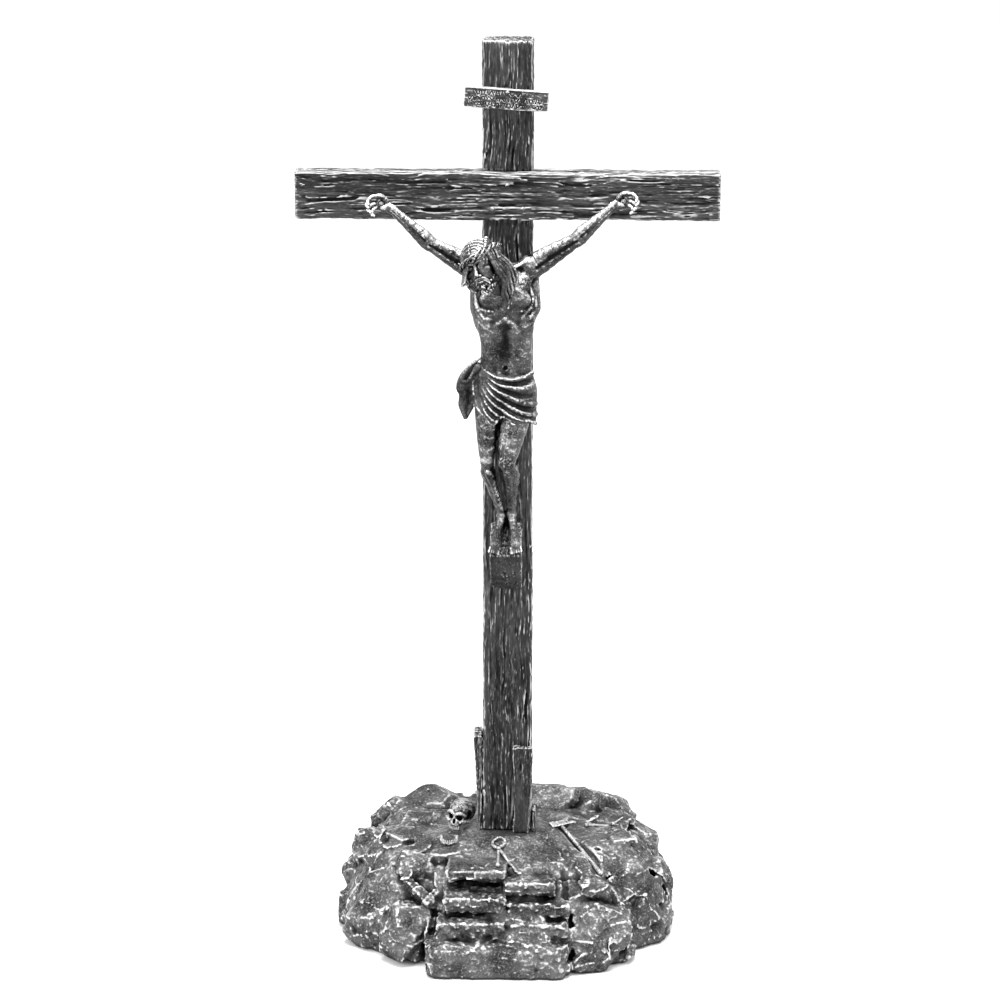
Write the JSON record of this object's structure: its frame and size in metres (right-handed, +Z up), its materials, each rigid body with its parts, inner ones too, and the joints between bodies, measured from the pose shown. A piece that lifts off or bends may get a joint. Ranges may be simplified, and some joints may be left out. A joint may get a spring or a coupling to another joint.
{
  "type": "altar crucifix",
  "caption": "Free-standing altar crucifix: timber cross with a hanging figure, title plaque and foot ledge, plugged into a stepped rock mound with skull and tools.",
  "frame": {"origin": "on the post's axis, at the underside of the felt", "axes": "+X to the viewer's right, +Y to the back, +Z up along the post; the figure faces -Y"},
  "size_m": [0.179, 0.139, 0.4],
  "materials": {
    "rock_cast": "filled cast resin, dark with dry-brushed pewter on the edges",
    "timber_cast": "cast timber grain, dry-brushed pewter over black",
    "figure_cast": "antique pewter paint, satin",
    "cloth_cast": "cast cloth folds, antique pewter paint, satin",
    "bone_cast": "cast bone, light dry-brushed pewter",
    "iron_cast": "cast ironwork, light dry-brushed pewter",
    "dowel_steel": "plain hidden pin",
    "felt": "black felt"
  },
  "bodies": {
    "base": {"rock_mound": "rock_cast", "felt_pad": "felt", "wedge_left": "timber_cast", "wedge_right": "timber_cast", "wedge_side": "timber_cast", "skull": "bone_cast", "jawbone": "bone_cast", "hammer_head": "iron_cast", "hammer_handle": "timber_cast", "pincers": "iron_cast", "loose_nails": "iron_cast"},
    "cross": {"post": "timber_cast", "crossbeam": "timber_cast", "crossing_pegs": "iron_cast", "title_plaque": "timber_cast", "title_nail": "iron_cast", "foot_ledge": "timber_cast", "corpus_body": "figure_cast", "corpus_head": "figure_cast", "crown_of_thorns": "figure_cast", "left_arm": "figure_cast", "right_arm": "figure_cast", "loincloth": "cloth_cast", "loincloth_knot": "cloth_cast", "hand_nails": "iron_cast", "foot_nails": "iron_cast", "corpus_dowel": "dowel_steel", "ledge_dowel": "dowel_steel"}
  },
  "joints": [
    {"name": "cross_lift_out", "type": "slide", "parent": "base", "child": "cross", "axis": [0, 0, 1], "range_m": [0, 0.085]}
  ]
}
